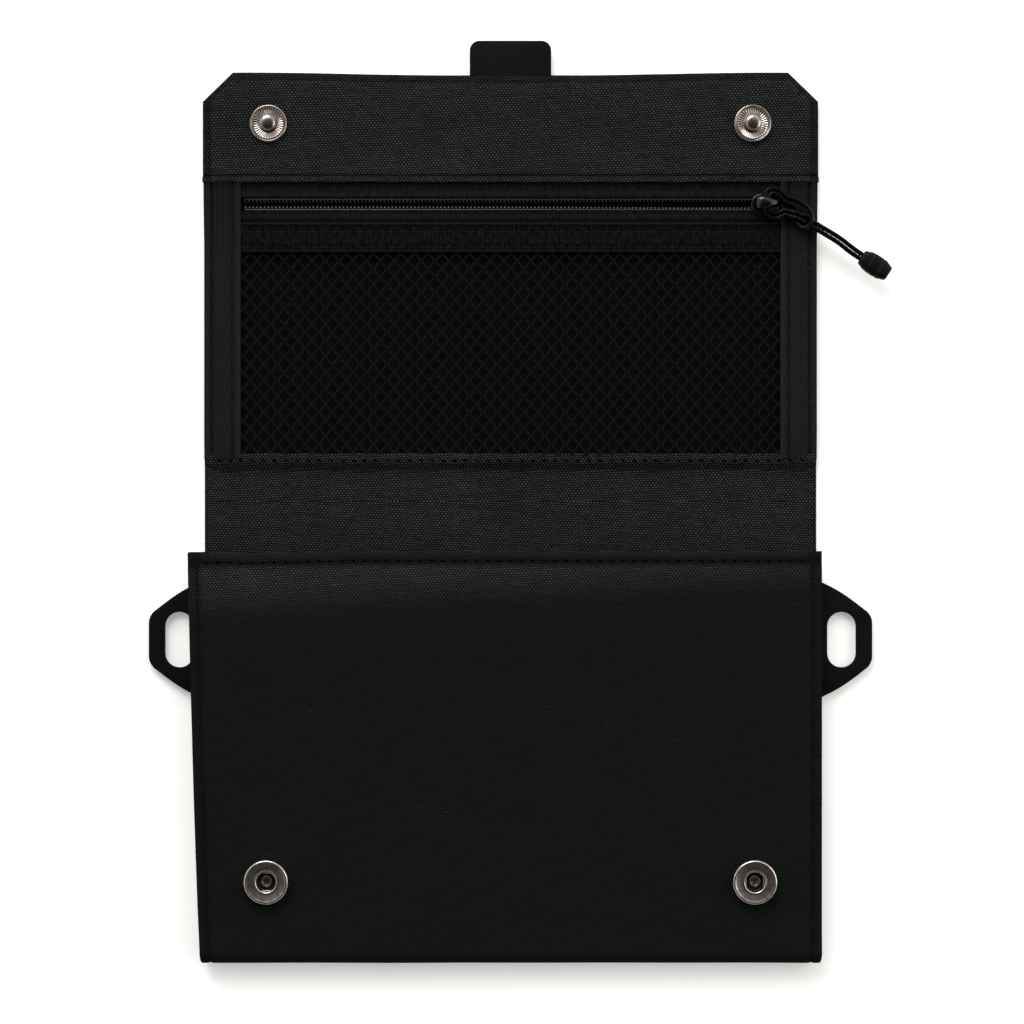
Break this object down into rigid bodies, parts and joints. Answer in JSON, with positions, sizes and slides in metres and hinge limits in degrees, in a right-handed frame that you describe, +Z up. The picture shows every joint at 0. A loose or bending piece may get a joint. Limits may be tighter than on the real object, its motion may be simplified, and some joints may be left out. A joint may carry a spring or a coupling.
{
  "type": "neck pouch wallet",
  "caption": "Flat fabric neck pouch with a gusseted main compartment, fold-over snap flap, zipped mesh coin pocket and two strap loops.",
  "frame": {"origin": "middle of the fold line, on the surface that the open wallet lies on", "axes": "+X across the wallet to its right, +Y from the fold to the flap's tab, +Z up out of the surface; the wallet lies open with its inside up"},
  "size_m": [0.2275, 0.2824, 0.0116],
  "materials": {
    "shell_cloth": "charcoal plain-weave synthetic cloth, matt",
    "lining_cloth": "thin black lining cloth, matt",
    "smooth_sheet": "smooth black coated sheet, satin",
    "woven_tape": "black woven twill tape, matt",
    "ribbed_ribbon": "black ribbed ribbon, slight sheen",
    "pocket_mesh": "black knitted net over lining",
    "zip_coil": "black nylon coil with bright tips",
    "slider_metal": "glossy black lacquered die casting",
    "snap_nickel": "worn nickel plate",
    "spring_wire": "spring steel wire",
    "puller_cord": "black braided round cord",
    "moulded_end": "black moulded plastic, matt"
  },
  "bodies": {
    "pouch": {"back_panel": "shell_cloth", "back_lining": "shell_cloth", "bottom_fold": "shell_cloth", "front_panel": "shell_cloth", "front_lining": "lining_cloth", "gusset_left": "shell_cloth", "gusset_right": "shell_cloth", "loop_left": "smooth_sheet", "loop_right": "smooth_sheet", "socket_left": "snap_nickel", "socket_right": "snap_nickel", "socket_spring_left": "spring_wire", "socket_spring_right": "spring_wire", "socket_post_left": "snap_nickel", "socket_post_right": "snap_nickel"},
    "spine": {"spine_shell": "shell_cloth", "spine_lining": "shell_cloth"},
    "flap": {"flap_shell": "shell_cloth", "flap_lining": "lining_cloth", "band_interlining": "lining_cloth", "flap_band": "shell_cloth", "flap_tab": "smooth_sheet", "upper_zip_tape": "woven_tape", "lower_zip_tape": "woven_tape", "upper_zip_coil": "zip_coil", "lower_zip_coil": "zip_coil", "pocket_ribbon": "ribbed_ribbon", "coin_mesh": "pocket_mesh", "mesh_hem": "shell_cloth", "side_strip_left": "woven_tape", "side_strip_right": "woven_tape", "stud_left": "snap_nickel", "stud_right": "snap_nickel", "stud_cap_left": "snap_nickel", "stud_cap_right": "snap_nickel"},
    "slider": {"zip_slider": "slider_metal"},
    "puller": {"puller_cord": "puller_cord", "puller_end": "moulded_end"}
  },
  "joints": [
    {"name": "pouch_crease", "type": "hinge", "parent": "pouch", "child": "spine", "pos_m": [0, -0.008, 0.0008], "axis": [1, 0, 0], "range_deg": [0, 90]},
    {"name": "flap_crease", "type": "hinge", "parent": "spine", "child": "flap", "pos_m": [0, 0.008, 0.0008], "axis": [1, 0, 0], "range_deg": [0, 90]},
    {"name": "zip_slide", "type": "slide", "parent": "flap", "child": "slider", "axis": [-1, 0, 0], "range_m": [0, 0.1558]},
    {"name": "puller_flip", "type": "hinge", "parent": "slider", "child": "puller", "pos_m": [0.0779, 0.0908, 0.006], "axis": [0, -1, 0], "range_deg": [0, 180]}
  ]
}
